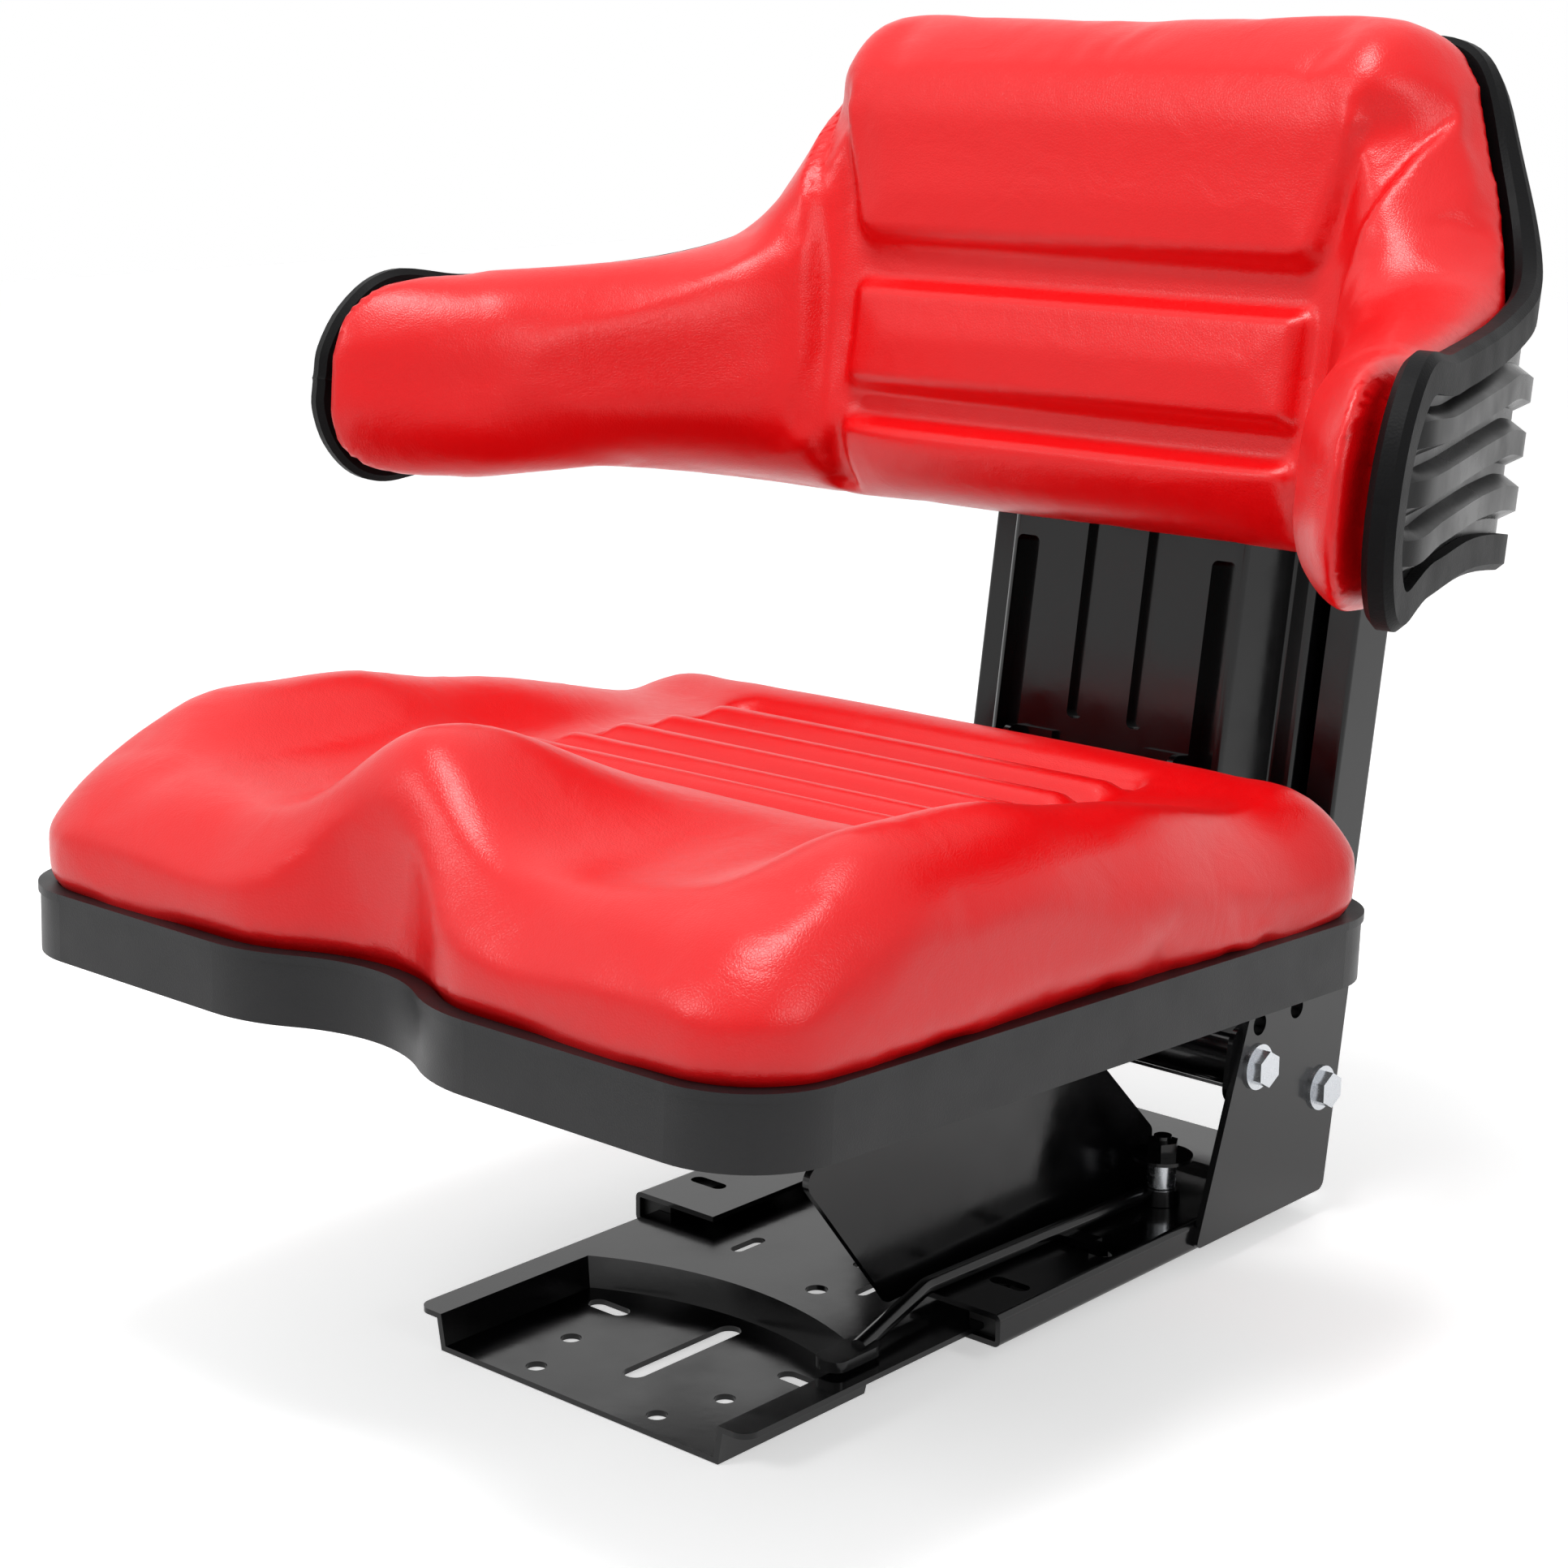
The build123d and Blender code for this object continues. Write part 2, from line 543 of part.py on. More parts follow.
def make_cushion():
    """Padded cushion that stands in the band."""
    columns = [k * (SEAT_HALF + 8) / 17 for k in range(-17, 18)]
    depths = [SEAT_FRONT - 8 + k * (SEAT_REAR - SEAT_FRONT + 16) / 34 for k in range(35)]
    grid = [[(x, y, seat_top(x, y)) for x in columns] for y in depths]
    top = Face.make_surface_from_array_of_points(grid, tol=0.5)
    body = along_z(seat_outline(1.0), BAND_HEIGHT + 1.5, 190)
    body -= extrude(top, 200, dir=(0, 0, 1))
    for i in range(FLUTES):
        y = FLUTE_FRONT + i * FLUTE_PITCH
        body -= rod_x(FLUTE_RADIUS, -FLUTE_HALF, FLUTE_HALF, y, seat_top(60, y) + 1)
    floor = SEAT_PAN_Z + SEAT_PAN_SHEET + 0.3
    body += along_z(seat_outline(BAND_THICK + 0.8), floor, BAND_HEIGHT + 2)
    return SEAT * body


def make_edge_band():
    """Black band round the seat pan, with a lip that grips the pan from below."""
    band = along_z(seat_outline(0), 0, BAND_HEIGHT)
    band += along_z(seat_outline(-BAND_BEAD), BAND_HEIGHT - 4, BAND_HEIGHT)
    band -= along_z(seat_outline(BAND_THICK), -1, BAND_HEIGHT + 1)
    lip = along_z(seat_outline(BAND_THICK / 2), SEAT_PAN_Z - 3.2, SEAT_PAN_Z)
    band += lip - along_z(seat_outline(26), 0, 20)
    return SEAT * (band - both(box(31.5, 60.5, SEAT_REAR - 30, SEAT_REAR + 5, -1, SEAT_PAN_Z)))


def make_seat_pan():
    """Sheet pan under the cushion."""
    return SEAT * along_z(seat_outline(BAND_THICK + 0.4), SEAT_PAN_Z, SEAT_PAN_Z + SEAT_PAN_SHEET)


def shell_plan(s):
    """Point and outward tangent of the shell's inner face in plan, s along it from the middle."""
    side = 1 if s >= 0 else -1
    s = abs(s)
    turn = radians(90 - ARM_FLARE)
    v = CARRIER_FRONT - SHELL_STANDOFF - SHELL_SHEET
    bend = SHELL_BEND * turn
    if s <= SHELL_STRAIGHT:
        return (side * s, v), (side, 0)
    angle = min(s - SHELL_STRAIGHT, bend) / SHELL_BEND
    x = SHELL_STRAIGHT + SHELL_BEND * sin(angle)
    v -= SHELL_BEND * (1 - cos(angle))
    rest = max(0, s - SHELL_STRAIGHT - bend)
    x += rest * cos(angle)
    v -= rest * sin(angle)
    return (side * x, v), (side * cos(angle), -sin(angle))


def tip_share(s):
    """0 along the shell and 1 round the tip of an arm."""
    return smooth((abs(s) - SHELL_END + 1.4 * ARM_END) / ARM_END)


def outline_heights(s):
    """Lower and upper rim of the backrest at s, along the reclined frame."""
    (x, v), _ = shell_plan(s)
    a = abs(x)
    slope = tan(radians(90 - SHOULDER_SLOPE))
    crown = 40.0
    top = BACK_TOP - slope * max(0.0, a - SHOULDER_X + 25)
    top = BACK_TOP - crown * (sqrt(1 + ((BACK_TOP - top) / crown) ** 2) - 1)
    top = ARM_TOP + 0.5 * (top - ARM_TOP + sqrt((top - ARM_TOP) ** 2 + 40.0 ** 2))
    low = BACK_BOTTOM + (ARM_BOTTOM - BACK_BOTTOM) * smooth((abs(s) - 180) / 220)
    to_end = max(0.0, SHELL_END - abs(s))
    cut = 0.0
    if to_end < ARM_END:
        cut = ARM_END - sqrt(ARM_END ** 2 - (ARM_END - to_end) ** 2)
    low, top = low + cut, top - cut
    lean = v * sin(radians(RECLINE))
    return (low + lean) / cos(radians(RECLINE)), (top + lean) / cos(radians(RECLINE))


def edge_stretch(s):
    """How much longer an upright cut across each rim is for the rim's slope."""
    before = outline_heights(s - 1)
    after = outline_heights(s + 1)
    return [min(2.4, hypot(1, (b - a) / 2)) for a, b in zip(before, after)]


def shell_heights(s):
    """Lower and upper edge of the shell, inside the pad's rim except round the tips."""
    low, high = outline_heights(s)
    inset = SHELL_INSET * (1 - tip_share(s))
    below, above = edge_stretch(s)
    return low + inset * below, high - inset * above


def pad_plan(s):
    """Point of the pad's front face that belongs to s on the shell."""
    side = 1 if s >= 0 else -1
    s = abs(s)
    reach = SHELL_END - 4
    if s <= SHELL_STRAIGHT - 40:
        return side * s * CREASE_X / (SHELL_STRAIGHT - 40), PAD_FRONT
    t = (s - SHELL_STRAIGHT + 40) / (reach - SHELL_STRAIGHT + 40)
    ends = ((CREASE_X, PAD_FRONT), (198, PAD_FRONT + 6), (228, -232), (288, -345))
    weights = ((1 - t) ** 3, 3 * t * (1 - t) ** 2, 3 * t * t * (1 - t), t ** 3)
    x = sum(w * p[0] for w, p in zip(weights, ends))
    return side * x, sum(w * p[1] for w, p in zip(weights, ends))


def pad_stations():
    """Stations along the shell where the pad, shell and trim are cut, on one side."""
    step = (SHELL_END - ARM_END) / STATIONS
    marks = [k * step for k in range(STATIONS + 1)]
    return marks + [SHELL_END - ARM_END * (1 - cos(radians(a))) for a in (72, 56, 44, 30, 18, 8)]


def stations():
    """All stations, from the tip of the right arm to the tip of the left one."""
    half = pad_stations()
    return [-s for s in reversed(half[1:])] + half


def pad_section(s):
    """Upright slice of the pad at s. Its rim reaches over the trim."""
    (x0, v0), _ = shell_plan(s)
    x1, v1 = pad_plan(s)
    low, high = outline_heights(s)
    to_end = SHELL_END - abs(s)
    swell = sqrt(1 - max(0.0, 1 - (to_end - TRIM_REACH + 4) / 50.0) ** 2)
    dx, dv = (x1 - x0) * swell, (v1 - v0) * swell
    length = hypot(dx, dv)
    back = PAD_PLAY / length
    step = min((TRIM_INSIDE + PAD_PLAY) / length, 0.3)
    tip = tip_share(s)
    halves = []
    for end, way, stretch in zip((low, high), (1, -1), edge_stretch(s)):
        edge = (SHELL_INSET * (1 - tip) + TRIM_REACH + 6) * stretch
        rim = end + way * tip * (TRIM_EDGE + 4) * stretch
        middle = 0.3 * (high + low - 2 * end)
        halves.append([(back, end + way * edge), (step, end + way * edge), (step, rim + way * 4),
                       (0.5, rim), (0.86, rim + way * 13), (1.0, end + middle)])
    place = [[(x0 + dx * d, v0 + dv * d, z) for d, z in half] for half in halves]
    front = (x0 + dx, v0 + dv, (low + high) / 2)
    cover = Edge.make_spline(place[0][2:] + [front] + place[1][:1:-1])
    return make_face(Polyline(*place[1][2::-1], *place[0][:3]).edges() + cover)


def make_backrest_pad():
    """Padded backrest and arms, with the grooves that mark off its panels."""
    pad = loft([pad_section(s) for s in stations() if SHELL_END - abs(s) > TRIM_REACH + 1])
    wide = PANEL_GROOVE / 2
    deep = PAD_FRONT + PANEL_GROOVE_DEPTH
    rise = 1 / cos(radians(RECLINE))
    for height in GROOVE_HEIGHTS:
        z = (height + PAD_FRONT * sin(radians(RECLINE))) * rise
        pad -= box(-CREASE_X, CREASE_X, PAD_FRONT - 30, deep, z - wide, z + wide)
    inner = CARRIER_FRONT - SHELL_STANDOFF - SHELL_SHEET
    for x, z in BACKREST_BOLTS:
        pad -= both(rod_y(SMALL_BOLT * 2.15 + 1, x, inner - 8, inner + 1, z))
    return BACK * pad


def shell_normal(s):
    """Way out of the back of the shell at s, in plan."""
    _, (tx, tv) = shell_plan(s)
    return (-tv, tx) if s >= 0 else (tv, -tx)


def shell_section(s):
    """Upright slice of the shell at s, with the three ribs pressed into it."""
    (x, v), _ = shell_plan(s)
    nx, nv = shell_normal(s)
    low, high = shell_heights(s)
    depth = RIB_DEPTH * smooth((abs(s) - 110) / 90) * smooth((SHELL_END - abs(s) - 20) / 30)
    middle = min((low + high) / 2, low + (ARM_TOP - ARM_BOTTOM) / 2)
    squeeze = min(1.0, (high - low) / (ARM_TOP - ARM_BOTTOM))
    inner = [(0, low)]
    for k in (-1, 0, 1):
        for rise, share in ((-11, 0), (-6, 1), (6, 1), (11, 0)):
            inner.append((depth * share, middle + (k * RIB_SPACING + rise) * squeeze))
    inner.append((0, high))
    outer = [(d + SHELL_SHEET, z) for d, z in reversed(inner)]
    points = [(x + nx * d, v + nv * d, z) for d, z in inner + outer]
    return make_face(Polyline(*points, close=True))


def make_backrest_shell():
    """Pressed shell behind the pad, with raised bosses where it is bolted to the carrier."""
    shell = loft([shell_section(s) for s in stations()])
    outer = CARRIER_FRONT - SHELL_STANDOFF
    for x, z in BACKREST_BOLTS:
        shell += both(rod_y(SMALL_BOLT * 3, x, outer - 1, CARRIER_FRONT, z))
        shell -= both(rod_y(SMALL_BOLT + BOLT_PLAY, x, outer - 8, CARRIER_FRONT + 1, z))
    return BACK * shell


def trim_slice(s, upper):
    """Slice of the trim across the upper or lower edge of the shell at s.

    It stands upright where the shell bends, and square to the edge round the tips of the arms.
    """
    (x, v), (tx, tv) = shell_plan(s)
    normal = Vector(*shell_normal(s), 0)
    along = Vector(tx, tv, 0)
    way = 1 if upper else -1
    at_tip = SHELL_END - abs(s) < 0.01
    if at_tip:
        place = Vector(x, v, sum(shell_heights(s)) / 2)
        slope = radians(90)
    else:
        near = shell_heights(s)[upper]
        place = Vector(x, v, near)
        slope = atan2(way * (near - shell_heights(abs(s) + 0.5)[upper]), 0.5)
    turn = slope * smooth((abs(s) - SHELL_END + ARM_LENGTH) / 80)
    outward = along * sin(turn) + Vector(0, 0, way) * cos(turn)
    stretch = min(2.4, 1 / cos(slope - turn))
    reach = -TRIM_REACH * stretch
    edge = TRIM_EDGE * stretch
    gap = TRIM_PLAY * stretch
    bevel = TRIM_BEVEL
    inside = -TRIM_INSIDE
    outside = SHELL_SHEET + TRIM_OUTSIDE
    slot = SHELL_SHEET + TRIM_PLAY
    shape = ((reach, inside), (edge - bevel, inside), (edge, inside + bevel), (edge, outside - bevel),
             (edge - bevel, outside), (reach, outside), (reach, slot), (gap, slot),
             (gap, -TRIM_PLAY), (reach, -TRIM_PLAY))
    return make_face(Polyline(*[place + outward * a + normal * b for a, b in shape], close=True))


def make_backrest_trim():
    """U-shaped trim over the edge of the shell, all the way round."""
    marks = [-SHELL_END] + stations() + [SHELL_END]
    upper = loft([trim_slice(s, True) for s in marks])
    return BACK * (upper + loft([trim_slice(s, False) for s in marks]))


def make_lever():
    """Release lever of the slide, with the eye it turns on and the tooth of its latch."""
    x, y = LEVER_PIVOT
    low = RAIL_TOP + LEVER_REST
    level = low + LEVER_RADIUS
    end = (x, -118, PAN_TOP + 1.5 + LEVER_RADIUS)
    path = FilletPolyline((x - 6, y - 6, level), (x - 13, RAIL_FRONT - 5, level), end, radius=30)
    lever = sweep(Plane(path @ 0, z_dir=path % 0) * Circle(LEVER_RADIUS), path=path)
    lever += rod_z(11, x, y, low, low + 2 * LEVER_RADIUS)
    lever += along_z(Pos(x, -126) * RectangleRounded(18, 36, 7), PAN_TOP + 2.5, PAN_TOP + 8)
    tooth_y = y - 80
    lever += box(x - 12, LATCH_HOLE_X + 4, tooth_y - 6, tooth_y + 6, low, low + 4)
    lever += box(LATCH_HOLE_X - 4, LATCH_HOLE_X + 4, tooth_y - 4, tooth_y + 4, PAN_TOP + 0.8, low + 2)
    return lever - rod_z(BOLT_RADIUS - 1 + PIN_PLAY, x, y, 0, 60)


def make_lever_bolt():
    """Pivot bolt of the lever, its head under the rail."""
    x, y = LEVER_PIVOT
    head = hexagon(16, PAN_TOP + 1, RAIL_TOP - RAIL_SHEET)
    return Pos(x, y, 0) * head + rod_z(BOLT_RADIUS - 1, x, y, PAN_TOP + 1, 68)


def make_ring(inner, outer, z0, z1):
    """Ring on the pivot bolt of the lever."""
    x, y = LEVER_PIVOT
    return rod_z(outer, x, y, z0, z1) - rod_z(inner, x, y, z0 - 1, z1 + 1)


def make_lever_nut():
    """Nut on top of the lever's pivot bolt."""
    x, y = LEVER_PIVOT
    return Pos(x, y, 57) * hexagon(16, 0, 8) - rod_z(BOLT_RADIUS - 1 + BOLT_PLAY, x, y, 50, 70)


def main():
    """Build every piece and write it out."""
    nut_seat = CARRIER_FRONT + CARRIER_SHEET
    shell_front = CARRIER_FRONT - SHELL_STANDOFF - SHELL_SHEET
    backrest_bolts, backrest_nuts = bolts_through(BACKREST_BOLTS, shell_front, nut_seat)
    arm_bolts, arm_nuts = bolts_through(ARM_BOLTS, CARRIER_FRONT - 4, nut_seat)
    pivot_hole = BOLT_RADIUS - 1 + BOLT_PLAY
    sleeve_low = RAIL_TOP + 2 * LEVER_REST + 2 * LEVER_RADIUS
    parts = {
        "base_pan": make_base_pan(),
        "rail_left": make_rail(),
        "rail_right": mirror(make_rail(), about=Plane.YZ),
        "slide_glides": make_glides(),
        "side_plate_left": make_side_plate(),
        "side_plate_right": mirror(make_side_plate(), about=Plane.YZ),
        "cross_member": make_cross_member(),
        "bump_bridge": make_bridge(),
        "bump_stops": make_bump_stops(),
        "side_bolts": make_side_bolts(),
        "side_nuts": make_side_nuts(),
        "cross_tube": make_cross_tube(),
        "back_frame": make_back_frame(),
        "carrier_plate": make_carrier(),
        "roller_pins": make_roller_pins(),
        "spring_anchors": make_spring_anchors(),
        "spring_bar": make_spring_bar(),
        "spring_left": make_spring(1),
        "spring_right": make_spring(-1),
        "damper_bracket": make_damper_bracket(),
        "damper_body": make_damper_body(),
        "damper_rod": make_damper_rod(),
        "damper_nut": make_damper_nut(),
        "rebound_stops": make_rebound_stops(),
        "seat_arm_left": make_seat_arm(1),
        "seat_arm_right": make_seat_arm(-1),
        "arm_bolts": arm_bolts,
        "arm_nuts": arm_nuts,
        "backrest_bolts": backrest_bolts,
        "backrest_nuts": backrest_nuts,
        "seat_pan": make_seat_pan(),
        "edge_band": make_edge_band(),
        "seat_cushion": make_cushion(),
        "backrest_shell": make_backrest_shell(),
        "backrest_pad": make_backrest_pad(),
        "backrest_trim": make_backrest_trim(),
        "release_lever": make_lever(),
        "lever_bolt": make_lever_bolt(),
        "lever_sleeve": make_ring(pivot_hole, 8, sleeve_low, 55),
        "lever_washer": make_ring(pivot_hole, 17, 55, 57),
        "lever_nut": make_lever_nut(),
    }
    for name, z in (("lower", ROLLER_HEIGHTS[0]), ("upper", ROLLER_HEIGHTS[1])):
        parts[f"roller_{name}_left"] = make_roller(1, z)
        parts[f"roller_{name}_right"] = make_roller(-1, z)
    os.makedirs("parts", exist_ok=True)
    for name, part in parts.items():
        export_step(part, f"parts/{name}.step")


main()
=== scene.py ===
"""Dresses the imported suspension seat: red padded covers, black enamel steel, springs and studio light.

All in metres: x runs across the seat, y rearwards and z up.
"""
import json
from math import cos, pi, radians, sin

import bpy
import numpy as np
from mathutils import Matrix, Vector


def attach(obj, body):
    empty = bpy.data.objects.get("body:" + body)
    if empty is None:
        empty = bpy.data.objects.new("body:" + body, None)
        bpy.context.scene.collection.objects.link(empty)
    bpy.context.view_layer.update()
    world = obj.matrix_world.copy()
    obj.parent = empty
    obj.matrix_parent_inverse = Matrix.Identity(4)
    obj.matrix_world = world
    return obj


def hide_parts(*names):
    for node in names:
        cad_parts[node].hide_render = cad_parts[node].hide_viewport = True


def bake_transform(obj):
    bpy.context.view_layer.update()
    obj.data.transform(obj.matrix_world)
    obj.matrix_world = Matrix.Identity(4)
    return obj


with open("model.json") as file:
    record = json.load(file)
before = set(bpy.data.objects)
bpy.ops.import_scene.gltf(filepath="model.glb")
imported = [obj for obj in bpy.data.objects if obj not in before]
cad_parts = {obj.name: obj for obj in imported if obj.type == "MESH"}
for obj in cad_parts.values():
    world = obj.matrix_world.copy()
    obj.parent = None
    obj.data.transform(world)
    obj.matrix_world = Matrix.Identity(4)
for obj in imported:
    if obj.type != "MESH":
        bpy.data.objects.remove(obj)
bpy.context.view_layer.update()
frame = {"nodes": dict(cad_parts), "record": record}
nodes = frame["nodes"]

# The reclined frame: where its front plane meets the floor, and its lean
BACK_FOOT = 0.210
RECLINE = radians(9.0)

# Foam pressure under the covers, how far a point may swell, and how long it is given
COVER_PRESSURE = 4.0
COVER_SWELL = 0.003
COVER_FRAMES = 20

# Flutes of the cushion: first and last seam, their spacing, half their length and their relief
FLUTE_FRONT = -0.146
FLUTE_REAR = 0.044
FLUTE_PITCH = 0.038
FLUTE_HALF = 0.138
FLUTE_SWELL = 0.006
SEAM_DEPTH = 0.009
SEAM_WIDTH = 0.006

# Plan of the backrest shell: straight, then a bend, then the arm
SHELL_FACE = -0.056
SHELL_STRAIGHT = 0.180
SHELL_BEND = 0.090
ARM_TURN = radians(72)
ARM_LENGTH = 0.248
# Tip of the arm: its middle height, how far the pad is drawn out there and how much taller it gets
ARM_MIDDLE = 0.466
TIP_REACH = 0.033
TIP_GROWTH = 0.28

# Panels of the backrest: half widths, edge heights, corner radii and relief
PANEL_HALF = 0.155
PANEL_FOOT_HALF = 0.153
LOWER_TOP = 0.445
MIDDLE_BOTTOM = 0.4595
MIDDLE_TOP = 0.523
UPPER_BOTTOM = 0.5415
PANEL_CORNER = 0.010
UPPER_CORNER = 0.014
# Heights and half widths along the side edge of the upper panel, and along the inner edge of a wing
UPPER_SIDE = ((0.5415, 0.554, 0.586, 0.617, 0.634, 0.649), (0.153, 0.1575, 0.166, 0.173, 0.172, 0.158))
WING_EDGE = ((0.390, 0.457, 0.526, 0.562, 0.601, 0.640), (0.165, 0.167, 0.172, 0.178, 0.193, 0.214))
PANEL_DEPTH = 0.0105
PANEL_SWELL = 0.0025
# Level grooves that the solid pad already has: their heights, half width and depth, behind the pad's face
PAD_FACE = -0.1305
GROOVE_HEIGHTS = (0.452, 0.530)
GROOVE_HALF = 0.011
GROOVE_DEPTH = 0.009

# Suspension springs, in the reclined frame
SPRING_SIDE = 0.040
SPRING_BACK = -0.014
SPRING_LOW = 0.342
SPRING_LENGTH = 0.192
SPRING_TURNS = 21
SPRING_RADIUS = 0.012
WIRE_RADIUS = 0.002

# The photograph's camera: place, turn, downward tilt, roll and focal length on a 36 mm frame
CAMERA_PLACE = (1.0195, -1.2078, 0.6614)
CAMERA_TURN = radians(41.78)
CAMERA_TILT = radians(13.71)
CAMERA_ROLL = radians(0.28)
CAMERA_LENS = 71.3


def hex_linear(code):
    """Linear colour of an sRGB hex value."""
    parts = [int(code[i:i + 2], 16) / 255 for i in (1, 3, 5)]
    return [c / 12.92 if c <= 0.04045 else ((c + 0.055) / 1.055) ** 2.4 for c in parts] + [1.0]


def put(tree, kind, inputs=None, **settings):
    """Add a node with its settings. An input is a value or the socket that feeds it."""
    node = tree.nodes.new(kind)
    for key, value in settings.items():
        setattr(node, key, value)
    for socket, value in (inputs or {}).items():
        if isinstance(value, bpy.types.NodeSocket):
            tree.links.new(value, node.inputs[socket])
        else:
            node.inputs[socket].default_value = value
    return node


def new_finish(name):
    """Empty material, its node tree and its Object coordinates in metres."""
    finish = bpy.data.materials.new(name)
    finish.use_nodes = True
    tree = finish.node_tree
    tree.nodes.clear()
    coords = put(tree, "ShaderNodeTexCoord").outputs["Object"]
    return finish, tree, coords


def close_finish(tree, surface):
    """Feed a shader's socket to the surface."""
    put(tree, "ShaderNodeOutputMaterial", {"Surface": surface})


def red_vinyl():
    """PVC leathercloth: pressed grain of fine creases, a soft sheen and broad slack wrinkles."""
    finish, tree, coords = new_finish("red_vinyl")
    # Grain cells are about 1 mm in life and are drawn at 1.6 mm so that they show
    grain = put(tree, "ShaderNodeTexVoronoi", {"Vector": coords, "Scale": 1 / 0.0016},
                feature="DISTANCE_TO_EDGE")
    creases = put(tree, "ShaderNodeMapRange", {"Value": grain.outputs["Distance"], "From Max": 0.22})
    fine = put(tree, "ShaderNodeTexNoise", {"Vector": coords, "Scale": 1 / 0.004, "Detail": 4.0})
    slack = put(tree, "ShaderNodeTexNoise", {"Vector": coords, "Scale": 1 / 0.030, "Detail": 3.0,
                                             "Distortion": 1.2})
    shade = put(tree, "ShaderNodeTexNoise", {"Vector": coords, "Scale": 1 / 0.12, "Detail": 2.0})
    colour = put(tree, "ShaderNodeMix", {"Factor": shade.outputs["Fac"], "A": hex_linear("#D80006"),
                                         "B": hex_linear("#E20208")}, data_type="RGBA")
    rough = put(tree, "ShaderNodeMapRange", {"Value": fine.outputs["Fac"], "To Min": 0.25, "To Max": 0.36})
    low = put(tree, "ShaderNodeBump", {"Height": slack.outputs["Fac"], "Strength": 0.12, "Distance": 0.004})
    high = put(tree, "ShaderNodeBump", {"Height": creases.outputs["Result"], "Normal": low.outputs["Normal"],
                                        "Strength": 0.16, "Distance": 0.0003})
    shader = put(tree, "ShaderNodeBsdfPrincipled", {
        "Base Color": colour.outputs["Result"], "Roughness": rough.outputs["Result"],
        "Normal": high.outputs["Normal"], "IOR": 1.5, "Specular IOR Level": 0.44})
    close_finish(tree, shader.outputs["BSDF"])
    return finish


def black_enamel(name, code, smoothest, roughest, gloss):
    """Stoved enamel on pressed steel: deep black with a faint orange peel and thin handling dust."""
    finish, tree, coords = new_finish(name)
    peel = put(tree, "ShaderNodeTexNoise", {"Vector": coords, "Scale": 1 / 0.005, "Detail": 2.0})
    dust = put(tree, "ShaderNodeTexNoise", {"Vector": coords, "Scale": 1 / 0.04, "Detail": 6.0})
    rough = put(tree, "ShaderNodeMapRange", {"Value": dust.outputs["Fac"], "From Min": 0.3, "From Max": 0.7,
                                             "To Min": smoothest, "To Max": roughest})
    bump = put(tree, "ShaderNodeBump", {"Height": peel.outputs["Fac"], "Strength": 0.05, "Distance": 0.0004})
    shader = put(tree, "ShaderNodeBsdfPrincipled", {
        "Base Color": hex_linear(code), "Roughness": rough.outputs["Result"],
        "Normal": bump.outputs["Normal"], "IOR": 1.5, "Specular IOR Level": gloss})
    close_finish(tree, shader.outputs["BSDF"])
    return finish


def moulding(name, code, cell, depth, roughness, gloss=0.36):
    """Moulded or extruded plastic and rubber: dull, with a pressed grain and scuffs that change the gloss."""
    finish, tree, coords = new_finish(name)
    grain = put(tree, "ShaderNodeTexVoronoi", {"Vector": coords, "Scale": 1 / cell})
    scuff = put(tree, "ShaderNodeTexNoise", {"Vector": coords, "Scale": 1 / 0.025, "Detail": 5.0})
    rough = put(tree, "ShaderNodeMapRange", {"Value": scuff.outputs["Fac"], "To Min": roughness - 0.1,
                                             "To Max": roughness + 0.12})
    bump = put(tree, "ShaderNodeBump", {"Height": grain.outputs["Distance"], "Strength": 0.25,
                                        "Distance": depth})
    shader = put(tree, "ShaderNodeBsdfPrincipled", {
        "Base Color": hex_linear(code), "Roughness": rough.outputs["Result"],
        "Normal": bump.outputs["Normal"], "IOR": 1.46, "Specular IOR Level": gloss})
    close_finish(tree, shader.outputs["BSDF"])
    return finish


def bare_metal(name, code, smoothest, roughest):
    """Plated or polished steel: bright, with faint handling marks."""
    finish, tree, coords = new_finish(name)
    marks = put(tree, "ShaderNodeTexNoise", {"Vector": coords, "Scale": 1 / 0.003, "Detail": 4.0})
    rough = put(tree, "ShaderNodeMapRange", {"Value": marks.outputs["Fac"], "To Min": smoothest,
                                             "To Max": roughest})
    bump = put(tree, "ShaderNodeBump", {"Height": marks.outputs["Fac"], "Strength": 0.06, "Distance": 0.0002})
    shader = put(tree, "ShaderNodeBsdfPrincipled", {
        "Base Color": hex_linear(code), "Metallic": 1.0, "Roughness": rough.outputs["Result"],
        "Normal": bump.outputs["Normal"]})
    close_finish(tree, shader.outputs["BSDF"])
    return finish


def select_only(piece):
    """Deselect everything, then make one piece the active one."""
    bpy.ops.object.select_all(action="DESELECT")
    piece.select_set(True)
    bpy.context.view_layer.objects.active = piece


def apply_all(piece):
    """Apply the modifiers of a piece in order."""
    select_only(piece)
    for name in [m.name for m in piece.modifiers]:
        bpy.ops.object.modifier_apply(modifier=name)


def smooth(piece, name, factor, rounds):
    """Add a smoothing modifier to a piece."""
    modifier = piece.modifiers.new(name, "SMOOTH")
    modifier.factor = factor
    modifier.iterations = rounds


def points_of(piece):
    """Vertex places of a piece as an array."""
    co = np.empty(len(piece.data.vertices) * 3)
    piece.data.vertices.foreach_get("co", co)
    return co.reshape(-1, 3)


def set_points(piece, co):
    """Write vertex places back to a piece."""
    piece.data.vertices.foreach_set("co", co.ravel())
    piece.data.update()


def normals_of(piece):
    """Vertex normals of a piece as an array."""
    no = np.empty(len(piece.data.vertices) * 3)
    piece.data.vertex_normals.foreach_get("vector", no)
    return no.reshape(-1, 3)


def ease(t):
    """Eased step from 0 to 1."""
    t = np.clip(t, 0.0, 1.0)
    return t * t * (3 - 2 * t)


